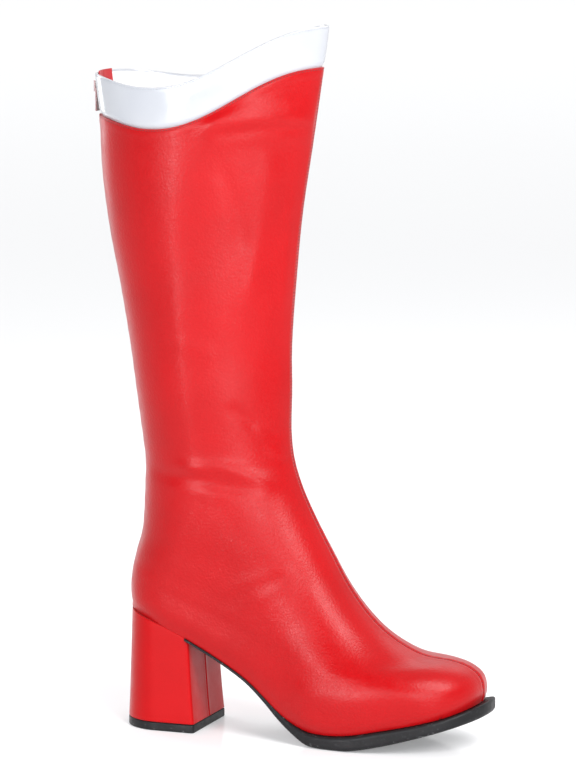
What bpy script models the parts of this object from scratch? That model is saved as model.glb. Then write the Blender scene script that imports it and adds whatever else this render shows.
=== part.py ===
# Knee-high costume boot for the right foot, with a block heel and a zip at the centre back.
# Metres, +Z up, +X to the toe, +Y to the inner side of the leg.
# The origin is the middle of the heel's tread, on the floor. The sizes below are in millimetres.
import math

import bmesh
import bpy
import numpy as np

MM = 0.001

# Walls and clearances
WALL = 1.7              # coated fabric of the upper
BAND_WALL = 1.5         # glossy band at the collar
GAP = 0.3               # between pieces that meet
SEAT = 0.5              # turned-in margin over the sole and the heel, whose facets differ
LASTING_MARGIN = 9.0    # upper turned in under the insole
INSOLE_THICK = 2.0
INSOLE_EASE = 1.0       # insole's edge to the inside of the upper
INSOLE_LIFT = 0.6       # insole over the turned-in margin

# Collar: a wave with its dip at the side, its peak at the front and a small rise at the back
WAVE_DIP = 0.32         # place of the dip, as a share of the way from back to front
WAVE_FRONT_RISE = 36.0
WAVE_FRONT_LATE = 1.15  # above 1 the rise starts more slowly
WAVE_BACK_RISE = 5.5
COLLAR_TILT = 0.05      # rise for each millimetre towards the inner side

# Heel
HEEL_BACK = -27.0       # back of the tread
HEEL_FRONT = 26.6       # breast at the tread
HEEL_HALF = 28.2
HEEL_TOP_BACK = -24.0
HEEL_TOP_FRONT = 22.5
HEEL_TOP_HALF = 27.3
HEEL_CORNER = 2.2
HEEL_BACK_POWER = 0.9   # below 1 the back is squarer than an ellipse
HEEL_FLARE_POWER = 0.8
HEEL_SHARES = (0.0, 0.25, 0.5, 0.75, 1.0)
LIFT_THICK = 5.3
LIFT_EDGE = 0.6
BREAST_SEAM = 0.9       # depth of the groove where the heel's cover meets

# Outsole
SOLE_BACK = 20.4        # skived end, let into the top of the heel
SOLE_TIP = 216.0
SOLE_TOE_ROUND = 38.0
SOLE_TOE_POWER = 2.6
SOLE_SPACING = 1.6      # crowds the stations towards the toe
SOLE_TOP_EDGE = 0.8
SOLE_TREAD_EDGE = 1.2

# Zip
SLIT_HALF = 3.5
SLIT_FOOT = 112.0       # height of the lower end of the slit
SLIT_LENGTH = 360.0
SLIT_REACH = (-65.0, -5.0)
TAPE_HALF = 11.0
TAPE_THICK = 0.7
TAPE_PARTING = 0.3      # half of the space between the two tapes
TAPE_EASE = 0.7         # tapes to the inside of the upper, whose facets differ
TAPE_STEP = 0.4         # rows over which the tapes step in behind the band
COIL_HALF = 1.8
COIL_THICK = 1.4
SLIDER_HEIGHT = 412.0   # height of the slider's middle
SLIDER_SIZE = (3.0, 6.2, 9.0)
SLIDER_PLATE = 1.2
SLIDER_EDGE = 0.5
CHANNEL_HALF = 2.3
BRIDGE_SIZE = (3.2, 1.6, 7.2)
BRIDGE_BAR = 1.2
PULL_SIZE = (1.1, 5.0, 15.0)
PULL_WINDOW = (2.6, 5.0)
PULL_BAR = 1.1
PULL_EDGE = 0.25

# Mesh fineness
RING_POINTS = 48
FOOT_RINGS = 22
SHAFT_RINGS = 11
TAPE_RINGS = 26
TAPE_COLUMNS = 4
HALF_SECTION_STEPS = 241
HEEL_BACK_STEPS = 9
HEEL_CORNER_STEPS = 4
SHARP_ANGLE = 40.0

# Stations along the sole: heights of its two faces, half of its width and its centre line.
SOLE_COLUMNS = ("x", "top", "bottom", "half", "mid")
SOLE_ROWS = (
    (-30.0, 80.0, 78.6, 27.0, 0.0),
    (-22.5, 77.2, 75.8, 28.0, 0.0),
    (0.0, 70.0, 68.6, 28.5, 0.0),
    (15.0, 64.0, 62.7, 28.0, -0.5),
    (30.0, 56.6, 55.2, 27.0, -1.0),
    (47.0, 47.2, 45.6, 26.0, -1.5),
    (64.0, 36.8, 34.6, 26.5, -2.0),
    (76.0, 27.4, 24.2, 28.5, -2.0),
    (86.0, 19.6, 14.7, 31.0, -2.0),
    (96.0, 13.4, 7.2, 34.0, -2.0),
    (106.0, 9.5, 1.5, 37.0, -1.8),
    (118.0, 8.4, 0.0, 39.5, -1.5),
    (132.0, 9.2, 0.0, 41.0, -1.2),
    (157.0, 14.0, 4.6, 40.5, 0.0),
    (176.0, 18.0, 9.6, 38.0, 1.5),
    (194.0, 22.6, 14.9, 34.5, 3.0),
    (209.5, 28.2, 19.8, 30.0, 4.0),
    (218.0, 32.0, 22.8, 27.0, 4.5),
)

# One row for each section of the upper, from the featherline up to the collar.
# follow: share of the sole's curve and plan that the section keeps; spread: added to the sole's half width;
# leg_half: half width where the section belongs to the leg; wave: share of the collar's wave;
# round and power: how far from its end a section closes, and how squarely.
UPPER_COLUMNS = ("back_x", "back_z", "front_x", "front_z", "follow", "spread", "leg_half", "wave",
                 "back_round", "front_round", "back_power", "front_power")
UPPER_ROWS = (
    (-23.4, 78.0, 209.5, 28.7, 1.00, -3.0, 33.0, 0.00, 34.0, 40.0, 2.10, 2.90),
    (-25.0, 82.5, 210.8, 36.0, 0.97, -0.5, 33.0, 0.00, 34.0, 40.0, 2.10, 2.90),
    (-25.5, 88.0, 208.6, 44.5, 0.92, 0.5, 33.0, 0.00, 34.0, 44.0, 2.10, 2.90),
    (-25.4, 94.0, 201.6, 50.5, 0.85, 0.5, 33.0, 0.00, 34.0, 55.0, 2.10, 2.80),
    (-24.8, 99.0, 191.0, 54.0, 0.76, 0.0, 33.5, 0.00, 34.0, 68.0, 2.10, 2.65),
    (-24.0, 104.0, 171.0, 57.0, 0.64, -0.5, 34.0, 0.00, 35.0, 76.0, 2.10, 2.50),
    (-22.7, 110.0, 151.4, 66.9, 0.50, -1.0, 34.0, 0.00, 36.0, 78.0, 2.00, 2.40),
    (-20.8, 117.0, 135.6, 80.6, 0.36, -1.0, 34.0, 0.00, 38.0, 72.0, 2.00, 2.30),
    (-18.2, 125.0, 121.9, 98.6, 0.23, -1.0, 34.0, 0.00, 40.0, 66.0, 2.00, 2.15),
    (-16.7, 134.0, 111.0, 118.0, 0.12, 0.0, 34.5, 0.00, 43.0, 60.0, 2.00, 2.00),
    (-16.0, 145.0, 100.2, 138.0, 0.05, 0.0, 35.0, 0.00, 46.0, 58.0, 2.00, 1.85),
    (-15.4, 158.0, 90.8, 158.0, 0.00, 0.0, 35.5, 0.00, 48.0, 56.0, 2.00, 1.75),
    (-15.0, 174.0, 84.8, 177.0, 0.00, 0.0, 36.0, 0.00, 48.0, 55.0, 2.00, 1.70),
    (-17.4, 195.0, 82.8, 196.0, 0.00, 0.0, 37.5, 0.00, 48.0, 56.0, 2.00, 1.65),
    (-21.0, 222.0, 83.3, 222.0, 0.00, 0.0, 39.5, 0.00, 50.0, 58.0, 2.00, 1.60),
    (-25.0, 250.0, 83.2, 250.0, 0.00, 0.0, 41.0, 0.00, 53.0, 62.0, 2.00, 1.60),
    (-31.2, 285.0, 85.7, 285.0, 0.00, 0.0, 43.0, 0.10, 57.0, 66.0, 2.00, 1.60),
    (-38.4, 320.0, 90.2, 320.0, 0.00, 0.0, 44.5, 0.35, 62.0, 72.0, 2.00, 1.60),
    (-43.4, 355.0, 97.7, 355.0, 0.00, 0.0, 45.5, 0.70, 66.0, 78.0, 2.00, 1.60),
    (-45.3, 389.7, 104.6, 389.7, 0.00, 0.0, 46.0, 1.00, 68.0, 82.0, 2.00, 1.60),
    (-48.2, 415.7, 108.2, 415.7, 0.00, 0.0, 46.0, 1.00, 69.0, 84.0, 2.00, 1.60),
)

# Places in that table, counted in rows
FEATHER_LEVEL = 0.0
TAPE_FOOT_LEVEL = 5.9
COIL_FOOT_LEVEL = 6.4
ANKLE_LEVEL = 11.0
BAND_FOOT_LEVEL = 18.75     # the band's lower edge, tucked behind the red edge
RED_EDGE_LEVEL = 19.0
COIL_TOP_LEVEL = 19.75
TAPE_TOP_LEVEL = 20.0
COLLAR_LEVEL = 20.0

# The band lies behind the red edge and comes out flush with it above: place, depth of its face
BAND_FACE = (
    (BAND_FOOT_LEVEL, WALL + GAP),
    (RED_EDGE_LEVEL, WALL + GAP),
    (19.12, 1.1),
    (19.5, 0.6),
    (COLLAR_LEVEL, 0.0),
)


def clear_scene():
    for item in list(bpy.data.objects):
        bpy.data.objects.remove(item)


def curve_through(places, values, at):
    # Cubic through hand-set values, with each tangent taken from the two neighbours.
    places = np.asarray(places, float)
    values = np.asarray(values, float)
    at = np.clip(np.asarray(at, float), places[0], places[-1])
    slopes = np.gradient(values, places, axis=0)
    left = np.clip(np.searchsorted(places, at, side="right") - 1, 0, len(places) - 2)
    width = places[left + 1] - places[left]
    t = (at - places[left]) / width
    if values.ndim > 1:
        t = t[..., None]
        width = width[..., None]
    return ((1 + 2 * t) * (1 - t) ** 2 * values[left] + t * (1 - t) ** 2 * width * slopes[left]
            + t * t * (3 - 2 * t) * values[left + 1] + t * t * (t - 1) * width * slopes[left + 1])


def sole(column, x):
    table = np.array(SOLE_ROWS)
    found = curve_through(table[:, 0], table[:, SOLE_COLUMNS.index(column)], x)
    return np.maximum(found, 0.0) if column == "bottom" else found


def upper_row(level):
    values = curve_through(np.arange(len(UPPER_ROWS)), np.array(UPPER_ROWS), np.array([level]))[0]
    return dict(zip(UPPER_COLUMNS, values))


def closing(distance, length, power):
    # 0 at the end of a section, 1 from length onwards, along a rounded corner.
    t = np.clip(distance / length, 0.0, 1.0)
    return (1 - (1 - t) ** power) ** (1 / power)


def wave(share):
    front = np.clip((share - WAVE_DIP) / (1 - WAVE_DIP), 0, 1)
    back = np.clip((WAVE_DIP - share) / WAVE_DIP, 0, 1)
    return (WAVE_FRONT_RISE * (0.5 - 0.5 * np.cos(math.pi * front ** WAVE_FRONT_LATE))
            + WAVE_BACK_RISE * (0.5 - 0.5 * np.cos(math.pi * back)))


def half_section(level):
    # Points from the back to the front of one section: x, half width, z and the centre line's y.
    row = upper_row(level)
    share = 0.5 - 0.5 * np.cos(math.pi * np.linspace(0, 1, HALF_SECTION_STEPS))
    length = row["front_x"] - row["back_x"]
    x = row["back_x"] + share * length
    follow = row["follow"]
    back_base = row["back_z"] - follow * sole("top", row["back_x"])
    front_base = row["front_z"] - follow * sole("top", row["front_x"])
    z = back_base + share * (front_base - back_base) + follow * sole("top", x) + row["wave"] * wave(share)
    plan = follow * (sole("half", x) + row["spread"]) + (1 - follow) * row["leg_half"]
    half = (plan * closing(share * length, row["back_round"], row["back_power"])
            * closing((1 - share) * length, row["front_round"], row["front_power"]))
    return np.stack([x, half, z, follow * sole("mid", x)], axis=1)


def section_length(half):
    return np.linalg.norm(np.diff(half[:, :3], axis=0), axis=1)


def section_points(level, places):
    # A place is 0 at the back and 1 at the front. From 0 to 1 it runs along the outer side;
    # below 0 and from 1 to 2 it is on the inner side.
    half = half_section(level)
    steps = section_length(half)
    along = np.concatenate([[0], np.cumsum(steps)]) / steps.sum()
    places = np.asarray(places, float)
    inner = (places > 1) | (places < 0)
    share = np.where(places > 1, 2 - places, np.abs(places))
    x, width, z, mid = (np.interp(share, along, half[:, k]) for k in range(4))
    inwards = np.where(inner, width, -width)
    tilt = COLLAR_TILT * upper_row(level)["wave"]
    return np.stack([x, mid + inwards, z + tilt * inwards], axis=-1)


def ring(level):
    return section_points(level, np.arange(RING_POINTS) * 2 / RING_POINTS)


def back_strip(levels, offsets):
    # Grid over the back of the leg, with its columns at distances round from the centre back.
    rows = []
    for level in levels:
        total = section_length(half_section(level)).sum()
        rows.append(section_points(level, np.asarray(offsets) / total))
    return np.array(rows)


def sunk(grid, depth):
    # The grid moved inwards along its normals; depth is one number, or one for each row.
    around = np.gradient(grid, axis=1)
    upward = np.gradient(grid, axis=0)
    normals = np.cross(around, upward)
    normals /= np.linalg.norm(normals, axis=2, keepdims=True)
    return grid - normals * np.broadcast_to(depth, grid.shape[:1])[:, None, None]


def inset(points, distance):
    # A closed ring moved inwards in plan.
    tangent = np.roll(points, -1, axis=0) - np.roll(points, 1, axis=0)
    tangent[:, 2] = 0
    tangent /= np.linalg.norm(tangent, axis=1, keepdims=True)
    moved = points.copy()
    moved[:, 0] -= tangent[:, 1] * distance
    moved[:, 1] += tangent[:, 0] * distance
    return moved


def on_sole(points, lift):
    moved = points.copy()
    moved[:, 2] = sole("top", points[:, 0]) + lift
    return moved


def material(name, colour, roughness, metallic=0.0):
    made = bpy.data.materials.new(name)
    made.use_nodes = True
    shader = made.node_tree.nodes["Principled BSDF"]
    shader.inputs["Base Color"].default_value = (*colour, 1.0)
    shader.inputs["Roughness"].default_value = roughness
    shader.inputs["Metallic"].default_value = metallic
    return made


def new_object(name, bm, finish, collection):
    mesh = bpy.data.meshes.new(name)
    bm.to_mesh(mesh)
    bm.free()
    mesh.materials.append(finish)
    mesh.shade_smooth()
    mesh.set_sharp_from_angle(angle=math.radians(SHARP_ANGLE))
    made = bpy.data.objects.new(name, mesh)
    collection.objects.link(made)
    return made


def add_rows(bm, grid, closed):
    rows = [[bm.verts.new(point * MM) for point in line] for line in grid]
    count = len(rows[0])
    last = count if closed else count - 1
    for low, high in zip(rows, rows[1:]):
        for i in range(last):
            j = (i + 1) % count
            bm.faces.new((low[i], low[j], high[j], high[i]))
    return rows


def shell(name, grid, closed, thickness, side, finish, collection):
    # An open surface made solid on its inner side (-1) or its outer side (1).
    bm = bmesh.new()
    add_rows(bm, grid, closed)
    made = new_object(name, bm, finish, collection)
    solidify = made.modifiers.new("Wall", "SOLIDIFY")
    solidify.thickness = thickness * MM
    solidify.offset = side
    solidify.use_even_offset = True
    return made


def cap(bm, loop, facing_up):
    # Strips across a ring whose points i and -i lie opposite each other.
    count = len(loop)
    for i in range(count // 2):
        corners = [loop[i], loop[i + 1], loop[count - i - 1], loop[(count - i) % count]]
        corners = list(dict.fromkeys(corners))
        bm.faces.new(corners if facing_up else corners[::-1])


def stack(name, rings, finish, collection):
    # A solid through rings from its lower to its upper face.
    bm = bmesh.new()
    rows = add_rows(bm, rings, closed=True)
    cap(bm, rows[0], facing_up=False)
    cap(bm, rows[-1], facing_up=True)
    return new_object(name, bm, finish, collection)


def block(name, size, centre, finish, collection, edge=0.0):
    bm = bmesh.new()
    bmesh.ops.create_cube(bm, size=1.0)
    bmesh.ops.scale(bm, vec=[side * MM for side in size], verts=bm.verts)
    made = new_object(name, bm, finish, collection)
    made.location = [place * MM for place in centre]
    if edge:
        bevel = made.modifiers.new("Edge", "BEVEL")
        bevel.width = edge * MM
        bevel.segments = 2
    return made


def boolean(target, tool, operation):
    step = target.modifiers.new(tool.name, "BOOLEAN")
    step.object = tool
    step.operation = operation
    tool.hide_render = True
    tool.display_type = "WIRE"


def make_zip_slit(tools, finish):
    low, high = SLIT_REACH
    return block("zip_slit", (high - low, 2 * SLIT_HALF, SLIT_LENGTH),
                 ((low + high) / 2, 0.0, SLIT_FOOT + SLIT_LENGTH / 2), finish, tools)


def make_upper(parts, slit, red):
    levels = np.concatenate([
        np.linspace(FEATHER_LEVEL, ANKLE_LEVEL, FOOT_RINGS, endpoint=False),
        np.linspace(ANKLE_LEVEL, RED_EDGE_LEVEL, SHAFT_RINGS),
    ])
    turned_in = on_sole(inset(ring(FEATHER_LEVEL), LASTING_MARGIN), SEAT)
    rings = [turned_in] + [ring(level) for level in levels]
    upper = shell("upper", rings, True, WALL, -1, red, parts)
    boolean(upper, slit, "DIFFERENCE")


def make_collar_band(parts, slit, white):
    grid = np.array([ring(level) for level, _ in BAND_FACE])
    wrapped = np.concatenate([grid[:, -1:], grid, grid[:, :1]], axis=1)
    face = sunk(wrapped, [depth for _, depth in BAND_FACE])[:, 1:-1]
    band = shell("collar_band", face, True, BAND_WALL, -1, white, parts)
    boolean(band, slit, "DIFFERENCE")


def make_insole(parts, board):
    outline = inset(ring(FEATHER_LEVEL), WALL + INSOLE_EASE)
    base = SEAT + WALL + INSOLE_LIFT
    stack("insole", [on_sole(outline, base), on_sole(outline, base + INSOLE_THICK)], board, parts)


def outsole_outline():
    # Square across the skived end, then round the outer side, the toe and the inner side.
    count = RING_POINTS // 2
    run = 1 - (1 - np.linspace(0, 1, count)) ** SOLE_SPACING
    x = SOLE_BACK + run * (SOLE_TIP - SOLE_BACK)
    width = sole("half", x) * closing(SOLE_TIP - x, SOLE_TOE_ROUND, SOLE_TOE_POWER)
    mid = sole("mid", x)
    outer = np.stack([x, mid - width, np.zeros(count)], axis=1)
    inner = np.stack([x, mid + width, np.zeros(count)], axis=1)[-2::-1]
    start = np.array([[SOLE_BACK, 0.0, 0.0]])
    return np.concatenate([start, outer, inner])


def make_outsole(parts, black):
    outline = outsole_outline()
    rings = []
    for column, shrink, lift in (("bottom", SOLE_TREAD_EDGE, 0.0), ("bottom", 0.0, SOLE_TREAD_EDGE),
                                 ("top", 0.0, -SOLE_TOP_EDGE), ("top", SOLE_TOP_EDGE, 0.0)):
        points = inset(outline, shrink)
        points[:, 0] = np.maximum(points[:, 0], SOLE_BACK)
        points[:, 2] = sole(column, points[:, 0]) + lift
        rings.append(points)
    stack("outsole", rings, black, parts)


def heel_outline(back, front, half_width):
    # Round back, straight sides and a flat breast with small corners.
    middle = (back + front) / 2
    turn = np.linspace(0, math.pi / 2, HEEL_BACK_STEPS)
    side = np.array([SOLE_BACK / 3, 2 * SOLE_BACK / 3, SOLE_BACK - 2 * GAP, SOLE_BACK - GAP])
    corner = np.linspace(0, math.pi / 2, HEEL_CORNER_STEPS)
    x = np.concatenate([middle + (back - middle) * np.cos(turn), side,
                        front - HEEL_CORNER * (1 - np.sin(corner)), [front]])
    y = np.concatenate([half_width * np.sin(turn) ** HEEL_BACK_POWER, np.full(len(side), half_width),
                        half_width - HEEL_CORNER * (1 - np.cos(corner)), [0.0]])
    outer = np.stack([x, -y, np.zeros(len(x))], axis=1)
    inner = np.stack([x, y, np.zeros(len(x))], axis=1)[-2:0:-1]
    return np.concatenate([outer, inner])


def heel_top(x):
    # The heel's seat, let down at the breast for the skived end of the outsole.
    let_in = np.clip((x - SOLE_BACK + 2 * GAP) / GAP, 0, 1)
    return sole("top", x) - let_in * (sole("top", x) - sole("bottom", x) + GAP)


def make_breast_groove(tools, finish):
    # A square bar set on its edge along the slope of the breast, with its middle in front of it.
    reach = 2 * BREAST_SEAM
    rise = float(heel_top(HEEL_TOP_FRONT)) - LIFT_THICK
    middle = ((HEEL_FRONT + HEEL_TOP_FRONT) / 2 + reach - BREAST_SEAM, 0.0, LIFT_THICK + rise / 2)
    side = reach * math.sqrt(2)
    groove = block("breast_seam", (side, side, 2 * rise), middle, finish, tools)
    groove.rotation_mode = "ZYX"
    groove.rotation_euler = (0.0, math.atan2(HEEL_TOP_FRONT - HEEL_FRONT, rise), math.pi / 4)
    return groove


def make_heel(parts, tools, red):
    rings = []
    base = LIFT_THICK + GAP
    for share in HEEL_SHARES:
        flare = share ** HEEL_FLARE_POWER
        points = heel_outline(HEEL_BACK + flare * (HEEL_TOP_BACK - HEEL_BACK),
                              HEEL_FRONT + flare * (HEEL_TOP_FRONT - HEEL_FRONT),
                              HEEL_HALF + flare * (HEEL_TOP_HALF - HEEL_HALF))
        points[:, 2] = base + share * (heel_top(points[:, 0]) - base)
        rings.append(points)
    heel = stack("heel_block", rings, red, parts)
    boolean(heel, make_breast_groove(tools, red), "DIFFERENCE")


def make_lift(parts, black):
    outline = heel_outline(HEEL_BACK, HEEL_FRONT, HEEL_HALF)
    rings = []
    for shrink, height in ((LIFT_EDGE, 0.0), (0.0, LIFT_EDGE), (0.0, LIFT_THICK)):
        points = inset(outline, shrink)
        points[:, 2] = height
        rings.append(points)
    stack("top_lift", rings, black, parts)


def tape_depth(levels):
    # The tapes lie behind the upper's wall, and higher up behind the band as well.
    step = np.clip((np.asarray(levels) - BAND_FOOT_LEVEL) / TAPE_STEP + 1, 0, 1)
    behind_band = np.interp(levels, *zip(*BAND_FACE)) + BAND_WALL
    return TAPE_EASE + WALL + step * (behind_band - WALL)


def zip_levels(foot, top):
    # Even rows below the band, then the rows of its face.
    behind_band = [level for level, _ in BAND_FACE if level < top]
    return np.concatenate([np.linspace(foot, BAND_FOOT_LEVEL - TAPE_STEP, TAPE_RINGS), behind_band, [top]])


def make_zip_tapes(parts, weave):
    levels = zip_levels(TAPE_FOOT_LEVEL, TAPE_TOP_LEVEL)
    across = np.linspace(TAPE_PARTING, TAPE_HALF, TAPE_COLUMNS)
    offsets = np.concatenate([-across[::-1], across])
    grid = sunk(back_strip(levels, offsets), tape_depth(levels))
    shell("zip_tape_inner", grid[:, :TAPE_COLUMNS], False, TAPE_THICK, -1, weave, parts)
    shell("zip_tape_outer", grid[:, TAPE_COLUMNS:], False, TAPE_THICK, -1, weave, parts)


def make_zip_coil(parts, weave):
    levels = zip_levels(COIL_FOOT_LEVEL, COIL_TOP_LEVEL)
    offsets = (-COIL_HALF, 0.0, COIL_HALF)
    grid = sunk(back_strip(levels, offsets), tape_depth(levels) - GAP)
    shell("zip_coil", grid, False, COIL_THICK, 1, weave, parts)


def slider_inner_face():
    # The slider lies on the tapes, which lean out towards its upper end.
    levels = np.linspace(RED_EDGE_LEVEL, COLLAR_LEVEL, TAPE_RINGS)
    line = sunk(back_strip(levels, (-COIL_HALF, 0.0, COIL_HALF)), tape_depth(levels) - GAP)[:, 1]
    return float(np.interp(SLIDER_HEIGHT + SLIDER_SIZE[2] / 2, line[:, 2], line[:, 0]))


def make_zip_slider(parts, tools, enamel):
    depth, width, height = SLIDER_SIZE
    inner_face = slider_inner_face()
    outer_face = inner_face - depth
    slider = block("zip_slider", SLIDER_SIZE, (inner_face - depth / 2, 0.0, SLIDER_HEIGHT), enamel, parts,
                   SLIDER_EDGE)
    channel = block("slider_channel", (2 * (depth - SLIDER_PLATE), 2 * CHANNEL_HALF, 2 * height),
                    (inner_face, 0.0, SLIDER_HEIGHT), enamel, tools)
    reach, bridge_width, bridge_height = BRIDGE_SIZE
    bridge = block("slider_bridge", (reach + GAP, bridge_width, bridge_height),
                   (outer_face - (reach - GAP) / 2, 0.0, SLIDER_HEIGHT), enamel, tools)
    eye_reach = reach - BRIDGE_BAR
    eye = block("slider_eye", (eye_reach, 2 * width, bridge_height - 2 * BRIDGE_BAR),
                (outer_face - eye_reach / 2, 0.0, SLIDER_HEIGHT), enamel, tools)
    boolean(slider, channel, "DIFFERENCE")
    boolean(slider, bridge, "UNION")
    boolean(slider, eye, "DIFFERENCE")


def pull_axis():
    # The pull's bar rests on the foot of the bridge, halfway out under it.
    outer_face = slider_inner_face() - SLIDER_SIZE[0]
    foot = SLIDER_HEIGHT - BRIDGE_SIZE[2] / 2 + BRIDGE_BAR
    return outer_face - (BRIDGE_SIZE[0] - BRIDGE_BAR) / 2, foot + PULL_BAR / 2 + GAP


def make_zip_pull(parts, tools, enamel):
    # The pull's origin is on its axis, in its bar.
    x, z = pull_axis()
    thick, _, length = PULL_SIZE
    pull = block("zip_pull", PULL_SIZE, (0.0, 0.0, (PULL_BAR - length) / 2), enamel, parts, PULL_EDGE)
    pull.data.transform(pull.matrix_basis)
    pull.location = (x * MM, 0.0, z * MM)
    window_width, window_length = PULL_WINDOW
    window = block("pull_window", (2 * thick, window_width, window_length),
                   (x, 0.0, z - (PULL_BAR + window_length) / 2), enamel, tools)
    boolean(pull, window, "DIFFERENCE")


def new_collection(name):
    made = bpy.data.collections.new(name)
    bpy.context.scene.collection.children.link(made)
    return made


def main():
    clear_scene()
    parts = new_collection("costume_boot")
    tools = new_collection("cutters")
    red = material("red_coated_fabric", (0.72, 0.02, 0.025), 0.42)
    white = material("white_gloss_band", (0.86, 0.88, 0.93), 0.18)
    black = material("black_sole", (0.03, 0.032, 0.035), 0.5)
    board = material("insole_board", (0.8, 0.77, 0.72), 0.8)
    weave = material("zip_red", (0.55, 0.02, 0.03), 0.6)
    enamel = material("zip_enamel", (0.45, 0.015, 0.02), 0.3)
    slit = make_zip_slit(tools, red)
    make_upper(parts, slit, red)
    make_collar_band(parts, slit, white)
    make_insole(parts, board)
    make_outsole(parts, black)
    make_heel(parts, tools, red)
    make_lift(parts, black)
    make_zip_tapes(parts, weave)
    make_zip_coil(parts, weave)
    make_zip_slider(parts, tools, enamel)
    make_zip_pull(parts, tools, enamel)


main()
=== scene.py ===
# Costume boot: the looks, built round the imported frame.
# Sizes are in millimetres in the frame's own axes: +X to the toe, +Y to the inner side of the leg, +Z up.
import math

import bpy
import numpy as np
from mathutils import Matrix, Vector


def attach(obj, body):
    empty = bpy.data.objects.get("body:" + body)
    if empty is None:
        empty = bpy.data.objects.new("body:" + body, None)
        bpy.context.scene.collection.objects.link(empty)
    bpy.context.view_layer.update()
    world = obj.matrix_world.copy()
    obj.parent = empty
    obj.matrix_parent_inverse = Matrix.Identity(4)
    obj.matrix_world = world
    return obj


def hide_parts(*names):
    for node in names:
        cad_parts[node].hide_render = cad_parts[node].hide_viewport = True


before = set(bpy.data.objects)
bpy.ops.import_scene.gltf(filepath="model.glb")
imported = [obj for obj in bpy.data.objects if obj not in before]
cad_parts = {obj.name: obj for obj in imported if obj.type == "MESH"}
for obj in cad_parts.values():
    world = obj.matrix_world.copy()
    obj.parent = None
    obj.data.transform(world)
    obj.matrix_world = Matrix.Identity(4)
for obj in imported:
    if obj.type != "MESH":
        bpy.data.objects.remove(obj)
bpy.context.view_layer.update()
bpy.ops.object.select_all(action="DESELECT")
mm = 0.001
print("frame:", len(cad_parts), "nodes loaded")


# Camera, floor and lights
camera = {
    "turn": 20.5,                   # degrees from square-on to the outer side, towards the toe
    "distance": 2200.0,
    "height": 516.8,
    "target": (80.9, 0.0, 225.3),
    "focalPixels": 3496.3,
    "imageHeight": 768,
    "sensor": 36.0,
}

studio = {
    "floorSize": 60.0,              # metres
    "floorDrop": 0.05,              # mm under the tread
    "floorColour": (0.8, 0.802, 0.808),
    "floorGlow": 0.28,              # keeps the shadows light
    "floorRough": 0.12, "floorGloss": 0.12,
    "skyColour": (0.985, 0.99, 1.0),
    "skyFront": (0.2, -1.0, 0.0),   # the studio is dim round this direction and white elsewhere
    "skyEdges": (0.1, 0.45),        # where the change starts and ends
    "skyStrength": (0.9, 0.12),     # white, dim
    # name, place (m), aimed at (m), size (m), watts, colour
    "lights": (
        ("keySoftbox", (1.27, -0.92, 1.44), (0.1, 0.0, 0.1), (0.8, 1.2), 41.0, (1.0, 0.985, 0.99)),
        ("frontSoftbox", (0.3, -2.95, 0.78), (0.05, 0.0, 0.2), (5.0, 0.94), 55.0, (0.95, 0.975, 1.0)),
        ("rightFill", (1.6, -2.3, 0.52), (0.05, 0.0, 0.3), (0.8, 0.9), 20.0, (0.97, 0.98, 1.0)),
        ("toeFill", (-0.8, -2.6, 0.34), (0.1, 0.0, 0.05), (0.9, 0.5), 20.0, (0.97, 0.98, 1.0)),
        ("topSoftbox", (0.1, 1.6, 1.75), (0.1, 0.0, 0.1), (1.6, 0.9), 8.0, (0.98, 0.99, 1.0)),
        ("leftStrip", (-1.35, 0.75, 0.75), (0.0, 0.0, 0.25), (0.35, 1.4), 5.5, (0.98, 0.99, 1.0)),
    ),
}


def aim(place, target):
    return (Vector(target) - Vector(place)).to_track_quat("-Z", "Y").to_euler()


def addCamera():
    turn = math.radians(camera["turn"])
    target = Vector(camera["target"]) * mm
    reach = camera["distance"] * mm
    place = (target.x + reach * math.sin(turn), -reach * math.cos(turn), camera["height"] * mm)
    bpy.ops.object.camera_add(location=place, rotation=aim(place, target))
    made = bpy.context.active_object
    made.name = "photoCamera"
    made.data.sensor_width = camera["sensor"]
    made.data.lens = camera["focalPixels"] * camera["sensor"] / camera["imageHeight"]
    bpy.context.scene.camera = made


def addLights():
    for name, place, target, size, watts, colour in studio["lights"]:
        bpy.ops.object.light_add(type="AREA", location=place, rotation=aim(place, target))
        lamp = bpy.context.active_object
        lamp.name = name
        lamp.data.shape = "RECTANGLE"
        lamp.data.size, lamp.data.size_y = size
        lamp.data.energy = watts
        lamp.data.color = colour
    world = bpy.data.worlds.new("studioWorld")
    world.use_nodes = True
    tree = world.node_tree
    sky = tree.nodes["Background"]
    sky.inputs["Color"].default_value = (*studio["skyColour"], 1.0)
    direction = addNode(tree, "ShaderNodeTexCoord").outputs["Generated"]
    forward = addNode(tree, "ShaderNodeVectorMath", ((0, direction), (1, studio["skyFront"])),
                      operation="DOT_PRODUCT").outputs["Value"]
    strength = spread(tree, forward, *studio["skyStrength"], *studio["skyEdges"])
    tree.links.new(strength, sky.inputs["Strength"])
    bpy.context.scene.world = world
    bpy.context.scene.view_settings.view_transform = "Standard"


def addFloor():
    bpy.ops.mesh.primitive_plane_add(size=studio["floorSize"], location=(0, 0, -studio["floorDrop"] * mm))
    floor = bpy.context.active_object
    floor.name = "floor"
    floor.data.materials.append(floorPaint())


# Material helpers
def startMaterial(name, colour, roughness, sockets=()):
    made = bpy.data.materials.new(name)
    made.use_nodes = True
    shader = made.node_tree.nodes["Principled BSDF"]
    shader.inputs["Base Color"].default_value = (*colour, 1.0)
    shader.inputs["Roughness"].default_value = roughness
    for socket, value in sockets:
        shader.inputs[socket].default_value = value
    return made, made.node_tree, shader


def addNode(tree, kind, values=(), **settings):
    made = tree.nodes.new(kind)
    for setting, value in settings.items():
        setattr(made, setting, value)
    for socket, value in values:
        if hasattr(value, "is_output"):
            tree.links.new(value, made.inputs[socket])
        else:
            made.inputs[socket].default_value = value
    return made


def objectPlace(tree):
    return addNode(tree, "ShaderNodeTexCoord").outputs["Object"]


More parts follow.
